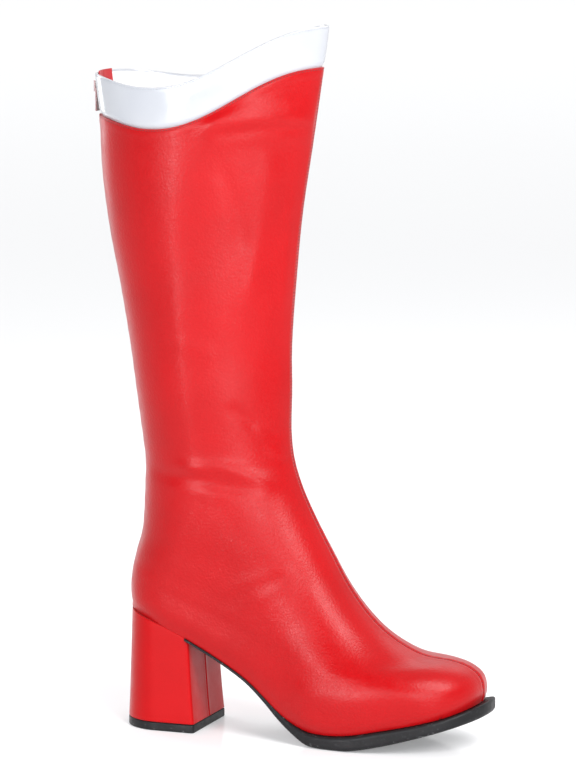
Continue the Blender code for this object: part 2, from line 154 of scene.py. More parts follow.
def noise(tree, place, grain, detail=2.0, roughness=0.5):
    # grain: the size of the pattern, in millimetres
    return addNode(tree, "ShaderNodeTexNoise", (
        ("Vector", place), ("Scale", 1 / (grain * mm)),
        ("Detail", detail), ("Roughness", roughness))).outputs[0]


def cells(tree, place, grain, blend=0.8):
    return addNode(tree, "ShaderNodeTexVoronoi", (
        ("Vector", place), ("Scale", 1 / (grain * mm)), ("Smoothness", blend)),
        feature="SMOOTH_F1").outputs["Distance"]


def ramp(tree, factor, stops):
    made = addNode(tree, "ShaderNodeValToRGB", (("Fac", factor),))
    band = made.color_ramp.elements
    while len(band) < len(stops):
        band.new(0.5)
    for element, (place, colour) in zip(band, stops):
        element.position = place
        element.color = (*colour, 1.0)
    return made.outputs["Color"]


def spread(tree, value, low, high, start=0.0, end=1.0):
    return addNode(tree, "ShaderNodeMapRange", (
        ("Value", value), ("From Min", start), ("From Max", end),
        ("To Min", low), ("To Max", high))).outputs[0]


def combine(tree, operation, first, second):
    made = addNode(tree, "ShaderNodeMath", ((0, first), (1, second)), operation=operation)
    return made.outputs[0]


def paint(tree, shader, factor, stops):
    tree.links.new(ramp(tree, factor, stops), shader.inputs["Base Color"])


def roughen(tree, shader, factor, low, high, start=0.0, end=1.0):
    tree.links.new(spread(tree, factor, low, high, start, end), shader.inputs["Roughness"])


def bump(tree, shader, layers):
    # layers: height, how far it stands (mm) and strength, one over the other
    normal = None
    for height, stand, strength in layers:
        values = [("Strength", strength), ("Distance", stand * mm), ("Height", height)]
        if normal is not None:
            values.append(("Normal", normal))
        normal = addNode(tree, "ShaderNodeBump", values).outputs["Normal"]
    tree.links.new(normal, shader.inputs["Normal"])


def attribute(tree, name):
    return addNode(tree, "ShaderNodeAttribute", attribute_name=name).outputs["Fac"]


# Finishes
def floorPaint():
    return startMaterial("floorPaint", studio["floorColour"], studio["floorRough"], (
        ("Specular IOR Level", studio["floorGloss"]), ("Emission Color", (*studio["floorColour"], 1.0)),
        ("Emission Strength", studio["floorGlow"])))[0]


def redCoatedFabric(name="redCoatedFabric", red=0.362, grain=1.4, stand=0.18, rough=(0.29, 0.38),
                    gloss=0.205):
    made, tree, shader = startMaterial(name, (red, 0.002, 0.0035), 0.35, (
        ("Specular IOR Level", gloss), ("Sheen Weight", 0.09), ("Sheen Roughness", 0.35)))
    place = objectPlace(tree)
    clouds = combine(tree, "MULTIPLY", noise(tree, place, grain=46.0, detail=3.0), 0.6)
    specks = combine(tree, "MULTIPLY", noise(tree, place, grain), 0.4)
    paint(tree, shader, combine(tree, "ADD", clouds, specks), (
        (0.38, (red * 0.94, 0.0018, 0.0032)), (0.62, (red * 1.06, 0.0024, 0.0042))))
    roughen(tree, shader, noise(tree, place, grain=7.0, detail=4.0), *rough, start=0.3, end=0.7)
    pebble = cells(tree, place, grain)
    pores = noise(tree, place, grain * 0.35, detail=3.0, roughness=0.6)
    bump(tree, shader, ((pores, stand * 0.5, 0.35), (pebble, stand, 0.5)))
    return made


def whitePatent():
    made, tree, shader = startMaterial("whitePatent", (0.41, 0.424, 0.453), 0.16, (
        ("Coat Weight", 0.6), ("Coat Roughness", 0.05)))
    place = objectPlace(tree)
    paint(tree, shader, noise(tree, place, grain=30.0), (
        (0.35, (0.398, 0.412, 0.446)), (0.7, (0.42, 0.433, 0.46))))
    roughen(tree, shader, noise(tree, place, grain=12.0, detail=3.0), 0.12, 0.22)
    ripples = noise(tree, place, grain=9.0, detail=1.0)
    bump(tree, shader, ((ripples, 0.25, 0.3), (noise(tree, place, grain=0.8), 0.02, 0.25)))
    return made


def weave(tree, place, width):
    # threads over and under, from two sets of bands
    bandLength = math.pi / 10       # of the node's waves at scale 1
    scale = bandLength / (2 * width * mm)
    upright, across = (
        addNode(tree, "ShaderNodeTexWave", (("Vector", place), ("Scale", scale)), bands_direction=way)
        for way in ("Z", "DIAGONAL"))
    return combine(tree, "MULTIPLY", upright.outputs["Fac"], across.outputs["Fac"])


def liningCloth(name="liningCloth", light=(0.8, 0.8, 0.795), dark=(0.74, 0.74, 0.73)):
    made, tree, shader = startMaterial(name, light, 0.85, (
        ("Specular IOR Level", 0.25), ("Sheen Weight", 0.1), ("Sheen Roughness", 0.5)))
    place = objectPlace(tree)
    threads = weave(tree, place, width=0.5)
    paint(tree, shader, noise(tree, place, grain=18.0, detail=4.0), ((0.3, dark), (0.7, light)))
    roughen(tree, shader, threads, 0.78, 0.92)
    bump(tree, shader, ((threads, 0.12, 0.5),))
    return made


def blackSole():
    made, tree, shader = startMaterial("blackSole", (0.01, 0.01, 0.011), 0.48, (
        ("Specular IOR Level", 0.24),))
    place = objectPlace(tree)
    scuffs = spread(tree, noise(tree, place, grain=2.6, detail=5.0, roughness=0.7), 0.0, 1.0, 0.56, 0.74)
    wearAndHighlight = combine(tree, "MULTIPLY", attribute(tree, "wearAndEdgeHighlight"), scuffs)
    # light grey where rubbed, and a painted highlight along the outsole's top edge
    paint(tree, shader, wearAndHighlight, (
        (0.0, (0.008, 0.008, 0.009)), (0.35, (0.022, 0.023, 0.025)), (1.0, (0.34, 0.34, 0.34))))
    roughen(tree, shader, noise(tree, place, grain=5.0, detail=4.0), 0.4, 0.58, start=0.3, end=0.7)
    pores = noise(tree, place, grain=0.5, detail=4.0)
    bump(tree, shader, ((pores, 0.05, 0.4), (noise(tree, place, grain=6.0), 0.2, 0.25)))
    return made


def zipCloth():
    made, tree, shader = startMaterial("zipCloth", (0.5, 0.012, 0.02), 0.7, (("Sheen Weight", 0.15),))
    place = objectPlace(tree)
    threads = weave(tree, place, width=0.35)
    paint(tree, shader, threads, ((0.1, (0.36, 0.007, 0.012)), (0.8, (0.58, 0.014, 0.022))))
    roughen(tree, shader, threads, 0.8, 0.6)
    bump(tree, shader, ((threads, 0.12, 0.6),))
    return made


def zipNylon():
    made, tree, shader = startMaterial("zipNylon", (0.52, 0.012, 0.02), 0.34)
    place = objectPlace(tree)
    paint(tree, shader, noise(tree, place, grain=1.6), (
        (0.3, (0.44, 0.009, 0.015)), (0.7, (0.58, 0.015, 0.022))))
    bump(tree, shader, ((noise(tree, place, grain=0.3), 0.02, 0.3),))
    return made


def shadedZipEnamel():
    # red enamel painted dark: painted shade on the slider and its pull
    made, tree, shader = startMaterial("shadedZipEnamel", (0.16, 0.006, 0.01), 0.26, (
        ("Coat Weight", 0.5), ("Coat Roughness", 0.08)))
    place = objectPlace(tree)
    paint(tree, shader, noise(tree, place, grain=2.2, detail=4.0), (
        (0.3, (0.13, 0.005, 0.008)), (0.72, (0.18, 0.007, 0.011)), (0.9, (0.3, 0.12, 0.1))))
    roughen(tree, shader, noise(tree, place, grain=0.9, detail=3.0), 0.2, 0.36)
    bump(tree, shader, ((noise(tree, place, grain=0.5), 0.02, 0.3),))
    return made


def thread(name, light, dark):
    made, tree, shader = startMaterial(name, light, 0.6, (("Sheen Weight", 0.2),))
    place = objectPlace(tree)
    paint(tree, shader, noise(tree, place, grain=0.6), ((0.3, dark), (0.7, light)))
    bump(tree, shader, ((noise(tree, place, grain=0.25), 0.05, 0.6),))
    return made


# The last: stations along the sole, with the heights of its faces, half of its width and its centre line
soleStations = {
    "columns": ("x", "top", "bottom", "half", "mid"),
    "rows": (
        (-30.0, 80.0, 78.6, 27.0, 0.0),
        (-22.5, 77.2, 75.8, 28.0, 0.0),
        (0.0, 70.0, 68.6, 28.5, 0.0),
        (15.0, 64.0, 62.7, 28.0, -0.5),
        (30.0, 56.6, 55.2, 27.0, -1.0),
        (47.0, 47.2, 45.6, 26.0, -1.5),
        (64.0, 36.8, 34.6, 26.5, -2.0),
        (76.0, 27.4, 24.2, 28.5, -2.0),
        (86.0, 19.6, 14.7, 31.0, -2.0),
        (96.0, 13.4, 7.2, 34.0, -2.0),
        (106.0, 9.5, 1.5, 37.0, -1.8),
        (118.0, 8.4, 0.0, 39.5, -1.5),
        (132.0, 9.2, 0.0, 41.0, -1.2),
        (157.0, 14.0, 4.6, 40.5, 0.0),
        (176.0, 18.0, 9.6, 38.0, 1.5),
        (194.0, 22.6, 14.9, 34.5, 3.0),
        (209.5, 28.2, 19.8, 30.0, 4.0),
        (218.0, 32.0, 22.8, 27.0, 4.5),
    ),
}

# Sections of the upper from the featherline to the collar, as the frame has them.
# follow: share of the sole's curve and plan; spread: added to the sole's half width;
# leg: half width on the leg; wave: share of the collar's wave;
# round and power: how far from its end a section closes, and how squarely.
upperSections = {
    "columns": ("backX", "backZ", "frontX", "frontZ", "follow", "spread", "leg", "wave",
                "backRound", "frontRound", "backPower", "frontPower"),
    "rows": (
        (-23.4, 78.0, 209.5, 28.7, 1.00, -3.0, 33.0, 0.00, 34.0, 40.0, 2.10, 2.90),
        (-25.0, 82.5, 210.8, 36.0, 0.97, -0.5, 33.0, 0.00, 34.0, 40.0, 2.10, 2.90),
        (-25.5, 88.0, 208.6, 44.5, 0.92, 0.5, 33.0, 0.00, 34.0, 44.0, 2.10, 2.90),
        (-25.4, 94.0, 201.6, 50.5, 0.85, 0.5, 33.0, 0.00, 34.0, 55.0, 2.10, 2.80),
        (-24.8, 99.0, 191.0, 54.0, 0.76, 0.0, 33.5, 0.00, 34.0, 68.0, 2.10, 2.65),
        (-24.0, 104.0, 171.0, 57.0, 0.64, -0.5, 34.0, 0.00, 35.0, 76.0, 2.10, 2.50),
        (-22.7, 110.0, 151.4, 66.9, 0.50, -1.0, 34.0, 0.00, 36.0, 78.0, 2.00, 2.40),
        (-20.8, 117.0, 135.6, 80.6, 0.36, -1.0, 34.0, 0.00, 38.0, 72.0, 2.00, 2.30),
        (-18.2, 125.0, 121.9, 98.6, 0.23, -1.0, 34.0, 0.00, 40.0, 66.0, 2.00, 2.15),
        (-16.7, 134.0, 111.0, 118.0, 0.12, 0.0, 34.5, 0.00, 43.0, 60.0, 2.00, 2.00),
        (-16.0, 145.0, 100.2, 138.0, 0.05, 0.0, 35.0, 0.00, 46.0, 58.0, 2.00, 1.85),
        (-15.4, 158.0, 90.8, 158.0, 0.00, 0.0, 35.5, 0.00, 48.0, 56.0, 2.00, 1.75),
        (-15.0, 174.0, 84.8, 177.0, 0.00, 0.0, 36.0, 0.00, 48.0, 55.0, 2.00, 1.70),
        (-17.4, 195.0, 82.8, 196.0, 0.00, 0.0, 37.5, 0.00, 48.0, 56.0, 2.00, 1.65),
        (-21.0, 222.0, 83.3, 222.0, 0.00, 0.0, 39.5, 0.00, 50.0, 58.0, 2.00, 1.60),
        (-25.0, 250.0, 83.2, 250.0, 0.00, 0.0, 41.0, 0.00, 53.0, 62.0, 2.00, 1.60),
        (-31.2, 285.0, 85.7, 285.0, 0.00, 0.0, 43.0, 0.10, 57.0, 66.0, 2.00, 1.60),
        (-38.4, 320.0, 90.2, 320.0, 0.00, 0.0, 44.5, 0.35, 62.0, 72.0, 2.00, 1.60),
        (-43.4, 355.0, 97.7, 355.0, 0.00, 0.0, 45.5, 0.70, 66.0, 78.0, 2.00, 1.60),
        (-45.3, 389.7, 104.6, 389.7, 0.00, 0.0, 46.0, 1.00, 68.0, 82.0, 2.00, 1.60),
        (-48.2, 415.7, 108.2, 415.7, 0.00, 0.0, 46.0, 1.00, 69.0, 84.0, 2.00, 1.60),
    ),
    "dip": 0.32,                    # place of the collar's dip, as a share of the way from back to front
    "frontRise": 36.0,
    "frontLate": 1.15,
    "backRise": 5.5,
    "tilt": 0.05,                   # rise for each millimetre towards the inner side
    "steps": 241,
}

# Places in that table, counted in rows
level = {"feather": 0.0, "tapeFoot": 5.9, "coilFoot": 6.4, "bandFoot": 18.75, "redEdge": 19.0,
         "coilTop": 19.75, "tapeTop": 20.0, "collar": 20.0}

# The band lies behind the red edge and comes out flush with it above
bandFace = {
    "depths": ((18.75, 2.0), (19.0, 2.0), (19.04, 0.9), (19.1, 0.3), (20.0, 0.0)),   # place, depth
    "blend": 0.05, "blendSteps": 9,
}


def curveThrough(places, values, at):
    # cubic through the given values, each tangent from the two neighbours
    places = np.asarray(places, float)
    values = np.asarray(values, float)
    at = np.clip(np.asarray(at, float), places[0], places[-1])
    slopes = np.gradient(values, places, axis=0)
    left = np.clip(np.searchsorted(places, at, side="right") - 1, 0, len(places) - 2)
    width = places[left + 1] - places[left]
    t = (at - places[left]) / width
    if values.ndim > 1:
        t = t[..., None]
        width = width[..., None]
    return ((1 + 2 * t) * (1 - t) ** 2 * values[left] + t * (1 - t) ** 2 * width * slopes[left]
            + t * t * (3 - 2 * t) * values[left + 1] + t * t * (t - 1) * width * slopes[left + 1])


def soleAt(column, x):
    table = np.array(soleStations["rows"])
    found = curveThrough(table[:, 0], table[:, soleStations["columns"].index(column)], x)
    return np.maximum(found, 0.0) if column == "bottom" else found


def upperRow(at):
    rows = np.array(upperSections["rows"])
    return dict(zip(upperSections["columns"], curveThrough(np.arange(len(rows)), rows, np.array([at]))[0]))


def travelled(points):
    # distance of each point from the first, along its line
    steps = np.linalg.norm(np.diff(points, axis=0), axis=-1)
    return np.concatenate([np.zeros((1, *steps.shape[1:])), np.cumsum(steps, axis=0)])


def between(at, key, rows):
    # what the rows say at one or more places along key
    return np.stack([np.interp(at, key, column) for column in rows.T], axis=-1)


def closing(distance, length, power):
    # 0 at the end of a section, 1 from length onwards, along a rounded corner
    t = np.clip(distance / length, 0.0, 1.0)
    return (1 - (1 - t) ** power) ** (1 / power)


def bell(distance, half):
    return np.exp(-(distance / half) ** 2)


def easeIn(value):
    t = np.clip(value, 0.0, 1.0)
    return t * t * (3 - 2 * t)


def collarWave(share):
    dip = upperSections["dip"]
    front = np.clip((share - dip) / (1 - dip), 0, 1)
    back = np.clip((dip - share) / dip, 0, 1)
    return (upperSections["frontRise"] * (0.5 - 0.5 * np.cos(math.pi * front ** upperSections["frontLate"]))
            + upperSections["backRise"] * (0.5 - 0.5 * np.cos(math.pi * back)))


def halfSection(at):
    # back to front of one section: x, half width, z and the centre line's y, with the distance along it
    row = upperRow(at)
    share = 0.5 - 0.5 * np.cos(math.pi * np.linspace(0, 1, upperSections["steps"]))
    length = row["frontX"] - row["backX"]
    x = row["backX"] + share * length
    follow = row["follow"]
    backBase = row["backZ"] - follow * soleAt("top", row["backX"])
    frontBase = row["frontZ"] - follow * soleAt("top", row["frontX"])
    z = backBase + share * (frontBase - backBase) + follow * soleAt("top", x)
    z += row["wave"] * collarWave(share)
    plan = follow * (soleAt("half", x) + row["spread"]) + (1 - follow) * row["leg"]
    half = (plan * closing(share * length, row["backRound"], row["backPower"])
            * closing((1 - share) * length, row["frontRound"], row["frontPower"]))
    curve = np.stack([x, half, z, follow * soleAt("mid", x)], axis=1)
    return curve, travelled(curve[:, :3])


def sectionPoints(at, distances):
    # distances round from the centre back: positive on the outer side, negative on the inner side
    curve, along = halfSection(at)
    distances = np.asarray(distances, float)
    x, width, z, mid = between(np.abs(distances), along, curve).T
    inwards = -np.sign(distances) * width
    tilt = upperSections["tilt"] * upperRow(at)["wave"]
    return np.stack([x, mid + inwards, z + tilt * inwards], axis=-1)


def normalsOf(grid):
    normals = np.cross(np.gradient(grid, axis=1), np.gradient(grid, axis=0))
    return normals / np.maximum(np.linalg.norm(normals, axis=2, keepdims=True), 1e-9)


def inset(points, distance):
    # a closed ring moved inwards in plan
    tangent = np.roll(points, -1, axis=0) - np.roll(points, 1, axis=0)
    tangent[:, 2] = 0
    tangent /= np.linalg.norm(tangent, axis=1, keepdims=True)
    moved = points.copy()
    moved[:, 0] -= tangent[:, 1] * distance
    moved[:, 1] += tangent[:, 0] * distance
    return moved


# Mesh helpers
def editAll():
    bpy.ops.object.mode_set(mode="EDIT")
    bpy.ops.mesh.select_all(action="SELECT")


def pickOnly(*pieces):
    bpy.ops.object.select_all(action="DESELECT")
    for piece in pieces:
        piece.select_set(True)
    bpy.context.view_layer.objects.active = pieces[0]


def shapedGrid(name, points):
    # a primitive grid whose points are moved to rows x columns of places in millimetres
    rows, columns = points.shape[:2]
    bpy.ops.object.select_all(action="DESELECT")
    bpy.ops.mesh.primitive_grid_add(x_subdivisions=columns - 1, y_subdivisions=rows - 1, size=1.0)
    made = bpy.context.active_object
    made.name = name
    made.data.name = name
    made.data.vertices.foreach_set("co", (points * mm).reshape(-1))
    made.data.update()
    return made


def mergeDoubles(piece, distance=0.004):
    pickOnly(piece)
    editAll()
    bpy.ops.mesh.remove_doubles(threshold=distance * mm)
    bpy.ops.object.mode_set(mode="OBJECT")


def applyModifier(piece, kind, **settings):
    pickOnly(piece)
    step = piece.modifiers.new(kind.title(), kind)
    for setting, value in settings.items():
        setattr(step, setting, value)
    bpy.ops.object.modifier_apply(modifier=step.name)


def smooth(piece, angle=40.0):
    pickOnly(piece)
    bpy.ops.object.shade_smooth_by_angle(angle=math.radians(angle))


def thicken(piece, thick, edgeRound=0.0, cutAngle=60.0):
    # gives a sheet its thickness inwards and rounds its cut edges
    applyModifier(piece, "SOLIDIFY", thickness=thick * mm, offset=-1)
    if edgeRound:
        applyModifier(piece, "BEVEL", width=edgeRound * mm, segments=3, limit_method="ANGLE",
                      angle_limit=math.radians(cutAngle))
    smooth(piece)


def finishPiece(piece, finish, body="boot", nodes=()):
    piece.data.materials.clear()
    piece.data.materials.append(finish)
    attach(piece, body)
    if nodes:
        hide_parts(*nodes)
    print(piece.name + ":", len(piece.data.polygons), "faces")


def cappedLoft(name, rings, across=14, crown=0.0):
    # a closed solid through rings whose points i and -i lie opposite each other
    rings = np.array(rings)
    solid = shapedGrid(name, np.concatenate([rings, rings[:, :1]], axis=1))
    share = np.linspace(0, 1, across + 1)[None, :, None]
    pieces = [solid]
    for ring, lift in ((rings[0], 0.0), (rings[-1], crown)):
        half = len(ring) // 2
        outer = ring[:half + 1, None]
        inner = np.roll(ring[::-1], 1, axis=0)[:half + 1, None]
        lid = outer + share * (inner - outer)
        lid[..., 2] += lift * (1 - (2 * share[..., 0] - 1) ** 2)
        pieces.append(shapedGrid(name + "Lid", lid))
    pickOnly(*pieces)
    bpy.ops.object.join()
    mergeDoubles(solid)
    editAll()
    bpy.ops.mesh.normals_make_consistent(inside=False)
    bpy.ops.object.mode_set(mode="OBJECT")
    smooth(solid)
    return solid


def quarterRound(radius, turns=(0, 30, 60, 90)):
    # steps round an edge, from one face to the next: distance short of each of the two
    for turn in turns:
        slope = math.radians(turn)
        yield radius * (1 - math.sin(slope)), radius * (1 - math.cos(slope))


# Wall of the boot: columns round from one side of the zip's slit over the front seam to the other side
wall = {
    "thick": 1.7,
    "slitHalf": 3.5,
    "slitFoot": 112.0,
    "slitFine": (0.0, 0.6, 1.3, 2.2, 3.4),       # columns from the slit's edge
    "seamFine": (4.6, 3.4, 2.6, 1.9, 1.3, 0.75, 0.35, 0.0),   # columns up to the front seam
    "ridgeFine": (6.0, 4.0, 2.0, 0.0),           # the same where there is no seam
}


def slitHalfAt(at):
    # the slit's lower end is round
    height = halfSection(at)[0][0, 2] - wall["slitFoot"]
    radius = wall["slitHalf"]
    rise = np.clip(height, 0.0, radius)
    return math.sqrt(max(radius ** 2 - (radius - rise) ** 2, 0.0))


def wallGrid(levels, plain, atFront, slitShare=1.0):
    # rows x columns of points, with each one's distance from the slit and from the front seam
    rows, fromSlit, fromSeam, sides = [], [], [], []
    for at in levels:
        reach = halfSection(at)[1][-1]
        slit = slitHalfAt(at) * slitShare
        start = slit + np.array(wall["slitFine"])
        end = reach - np.array(atFront)
        outer = np.concatenate([start, np.linspace(start[-1], end[0], plain + 2)[1:-1], end])
        distances = np.concatenate([outer, -outer[-2::-1]])
        rows.append(sectionPoints(at, distances))
        fromSlit.append(np.abs(distances) - slit)
        fromSeam.append(reach - np.abs(distances))
        sides.append(np.where(np.arange(len(distances)) < len(outer), outerSide, innerSide))
    grid = np.array(rows)
    closed = np.array([slitHalfAt(at) == 0 for at in levels])
    return {"levels": np.asarray(levels), "points": grid, "normals": normalsOf(grid), "closed": closed,
            "fromSlit": np.array(fromSlit), "fromSeam": np.array(fromSeam), "side": np.array(sides)}


def closeBack(grid, closed):
    # below the slit the first and last columns are one line
    middle = (grid[closed, 0] + grid[closed, -1]) / 2
    grid[closed, 0] = middle
    grid[closed, -1] = middle
    return grid


def evenLevels(start, end, count, extra=()):
    # levels an even distance apart, measured half at the back and half at the front
    rows = np.array(upperSections["rows"])
    travel = (travelled(rows[:, 0:2]) + travelled(rows[:, 2:4])) / 2
    ends = np.interp((start, end), np.arange(len(rows)), travel)
    even = np.interp(np.linspace(*ends, count), travel, np.arange(len(rows)))
    return np.unique(np.round(np.concatenate([even, extra]), 5))


# Creases listed: side of the boot, rise (negative for a trough), width, and a path of x, z
outerSide, innerSide = -1, 1
creases = (
    (outerSide, -0.9, 4.4, ((-10, 168.2), (0, 167.9), (15, 167.4), (35, 165.9), (55, 162.3), (72, 159.4))),
    (outerSide, 1.3, 4.6, ((12, 172.4), (28, 173.9), (45, 174.7), (56, 172.3), (66, 168.7), (78, 163.5),
                           (86, 159))),
    (outerSide, 0.35, 4.4, ((8, 160.5), (18, 160), (30, 159.4), (42, 157.4), (54, 154))),
    (outerSide, -0.9, 4.2, ((50, 216), (58, 208.5), (66, 201), (73, 193.5), (79, 186))),
    (outerSide, 0.8, 3.2, ((66, 203), (71, 196), (77, 186.5), (83, 176))),
    (outerSide, 0.4, 6.0, ((20, 255), (35, 249.5), (48, 243.5))),
    (outerSide, 0.22, 3.4, ((40, 90), (63, 102), (80, 109), (100, 118))),
    (outerSide, 0.2, 3.4, ((44, 75), (64, 86), (80, 95), (100, 106))),
    (outerSide, -0.2, 3.6, ((42, 83), (66, 95), (96, 110))),
    (outerSide, -1.3, 3.4, ((42, 384), (58, 386.5), (72, 388.5), (88, 389), (104, 388.5))),
    (outerSide, 2.6, 11.0, ((32, 389), (50, 392), (64, 393.5), (80, 394), (94, 393.5), (110, 392))),
    (outerSide, 1.3, 7.0, ((77, 384), (77, 362), (74, 338), (70, 312), (65, 288), (60, 264))),
    (outerSide, 0.5, 2.2, ((88, 352), (86, 337), (84, 312), (82, 288), (81, 268))),
    (outerSide, -0.5, 5.0, ((48, 372), (55, 352), (60, 330), (63, 306))),
    (outerSide, 1.2, 9.0, ((90, 40), (108, 35), (128, 33.5), (150, 34.5), (172, 37), (194, 41))),
    (innerSide, -1.6, 3.4, ((-2, 171), (14, 172.5), (32, 171), (48, 168), (62, 166))),
    (innerSide, 1.3, 4.0, ((30, 178.5), (46, 176.5), (60, 173.5), (76, 168))),
    (innerSide, 0.8, 3.2, ((10, 165), (28, 163.5), (46, 160.5))),
    (innerSide, -0.8, 4.4, ((46, 222), (60, 212), (72, 199), (79, 189))),
    (innerSide, 0.5, 4.6, ((14, 262), (32, 256), (50, 246))),
    (innerSide, 0.45, 2.4, ((52, 92), (66, 100), (84, 109))),
    (innerSide, -0.4, 2.4, ((58, 84), (74, 93), (92, 104))),
    (innerSide, 0.8, 7.5, ((66, 390), (70, 350), (72, 310), (72, 260))),
    (innerSide, 0.8, 9.0, ((92, 33), (112, 28), (134, 26.5), (160, 29), (190, 35))),
)

# Broad soft dents and swells: side, x, z, radius, rise
swells = (
    (outerSide, 22, 352, 34, 0.6), (outerSide, 58, 322, 30, -0.7), (outerSide, 8, 292, 30, -0.5),
    (outerSide, 40, 272, 30, 0.5), (outerSide, 62, 240, 24, -0.5), (outerSide, 16, 214, 26, 0.5),
    (outerSide, 30, 136, 24, 0.5), (outerSide, 72, 132, 20, -0.4), (outerSide, 112, 62, 22, 0.4),
    (innerSide, 26, 344, 34, -0.6), (innerSide, 60, 300, 30, 0.6), (innerSide, 14, 262, 28, 0.5),
    (innerSide, 44, 226, 26, -0.5), (innerSide, 24, 140, 24, 0.5), (innerSide, 84, 110, 22, -0.4),
)

relief = {
    "seamDepth": 0.9, "seamHalf": 0.5,           # front seam: groove, pillows and the sewn channels beside it
    "pillowRise": 0.3, "pillowAt": 2.9, "pillowHalf": 1.5,
    "channelDepth": 0.35, "channelHalf": 0.5,
    "seamStitchAt": 1.0,
    "puckerPitch": 9.0, "puckerShare": 0.4, "seamFade": 0.3,
    "legFrom": 13.5, "legTurn": 5.0, "legShare": 0.25,   # the seam is flatter up the leg
    "zipPuckerRise": 0.08, "zipPuckerPitch": 12.0, "zipPuckerAt": 8.0, "zipPuckerHalf": 4.5,
    "zipPuckerFade": 20.0,
    "stillFromSlit": 12.0, "stillFromSeam": 6.0,     # creases fade out over these distances
    "creaseFade": 0.22,                              # and over this share of their length
}


def creaseHeight(points, path, width):
    # soft bell across the path, fading out towards its ends
    line = np.array(path, float)
    lengths = np.linalg.norm(np.diff(line, axis=0), axis=1)
    total = lengths.sum()
    nearest = np.full(points.shape[:-1], np.inf)
    share = np.zeros(points.shape[:-1])
    done = 0.0
    for start, end, length in zip(line, line[1:], lengths):
        t = np.clip(((points - start) @ (end - start)) / length ** 2, 0, 1)
        gap = np.linalg.norm(points - (start + t[..., None] * (end - start)), axis=-1)
        closer = gap < nearest
        nearest = np.where(closer, gap, nearest)
        share = np.where(closer, (done + t * length) / total, share)
        done += length
    fade = easeIn(share / relief["creaseFade"]) * easeIn((1 - share) / relief["creaseFade"])
    return bell(nearest, width) * fade


def wallRelief(grid):
    # how far each point of the wall stands out from the last
    points, side = grid["points"], grid["side"]
    height = np.zeros(side.shape)
    for onSide, rise, width, path in creases:
        height += np.where(side == onSide, rise * creaseHeight(points[..., [0, 2]], path, width), 0)
    for onSide, x, z, radius, rise in swells:
        gap = np.hypot(points[..., 0] - x, points[..., 2] - z)
        height += np.where(side == onSide, rise * bell(gap, radius), 0)
    seam = grid["fromSeam"]
    height *= easeIn(grid["fromSlit"] / relief["stillFromSlit"]) * easeIn(seam / relief["stillFromSeam"])
    drop = points[..., 2] - points[..., 0]
    pucker = 1 + relief["puckerShare"] * np.sin(2 * math.pi * drop / relief["puckerPitch"] + side)
    sewn = (relief["pillowRise"] * pucker * bell(seam - relief["pillowAt"], relief["pillowHalf"])
            - relief["seamDepth"] * bell(seam, relief["seamHalf"])
            - relief["channelDepth"] * bell(seam - relief["seamStitchAt"], relief["channelHalf"]))
    onFoot = easeIn((relief["legFrom"] - grid["levels"]) / relief["legTurn"])
    sewn *= ((relief["legShare"] + (1 - relief["legShare"]) * onFoot)
             * easeIn((level["redEdge"] - grid["levels"]) / relief["seamFade"]))[:, None]
    height += sewn
    ripple = np.sin(2 * math.pi * points[..., 2] / relief["zipPuckerPitch"] + side)
    above = easeIn((points[..., 2] - wall["slitFoot"]) / relief["zipPuckerFade"])
    height += (relief["zipPuckerRise"] * ripple * above
               * bell(grid["fromSlit"] - relief["zipPuckerAt"], relief["zipPuckerHalf"]))
    return height


# Red upper
upperSkin = {
    "rows": 178, "plainColumns": 82,
    "margin": (9.0, 6.0, 3.0),      # turned in under the insole
    "seat": 0.5,
    "seatFill": 2.0, "seatRows": 0.5,               # fuller over heel and waist, where the joint is close
    "seatFront": 110.0, "seatFade": 30.0,
    "edgeRound": 0.4, "stillFromEdge": 8.0,
    "foldDepth": 7.0, "foldRise": 0.22, "foldTurn": 3.0, "foldFromSeam": 5.0,
    "foldStitchAt": 0.9, "channel": 0.2, "channelHalf": 0.8,
    "slitRows": (6.22, 6.3, 6.4, 6.5, 6.6, 6.7, 6.8),
    "edgeRows": (18.82, 18.86, 18.9, 18.93, 18.95, 18.965, 18.98),
}


def belowTop(points):
    # each point's distance down its own column from the top row
    climbed = travelled(points)
    return climbed[-1] - climbed


def makeUpper(finish):
    s = upperSkin
    levels = evenLevels(level["feather"], level["redEdge"], s["rows"], s["slitRows"] + s["edgeRows"])
    grid = wallGrid(levels, s["plainColumns"], wall["seamFine"])
    below = belowTop(grid["points"])
    height = wallRelief(grid) * easeIn(below / s["stillFromEdge"])      # the folded edge stays on the band
    height += (s["foldRise"] * easeIn((s["foldDepth"] - below) / s["foldTurn"])
               * easeIn(grid["fromSeam"] / s["foldFromSeam"]))
    height -= s["channel"] * bell(below - s["foldStitchAt"], s["channelHalf"])
    skin = closeBack(grid["points"] + grid["normals"] * height[..., None], grid["closed"])
    atHeel = easeIn((s["seatFront"] - skin[..., 0]) / s["seatFade"])
    seat = s["seatFill"] * bell(levels, s["seatRows"])[:, None] * atHeel
    skin[..., :2] += grid["normals"][..., :2] * seat[..., None]
    ring = grid["points"][0, :-1]
    turned = []
    for distance in s["margin"]:
        line = inset(ring, distance)
        line[:, 2] = soleAt("top", line[:, 0]) + s["seat"]
        turned.append(np.concatenate([line, line[:1]]))
    piece = shapedGrid("upperSkin", np.concatenate([turned, skin]))
    mergeDoubles(piece)
    thicken(piece, wall["thick"], s["edgeRound"])
    finishPiece(piece, finish, nodes=("upper",))
    return {**grid, "points": skin, "normals": normalsOf(skin)}


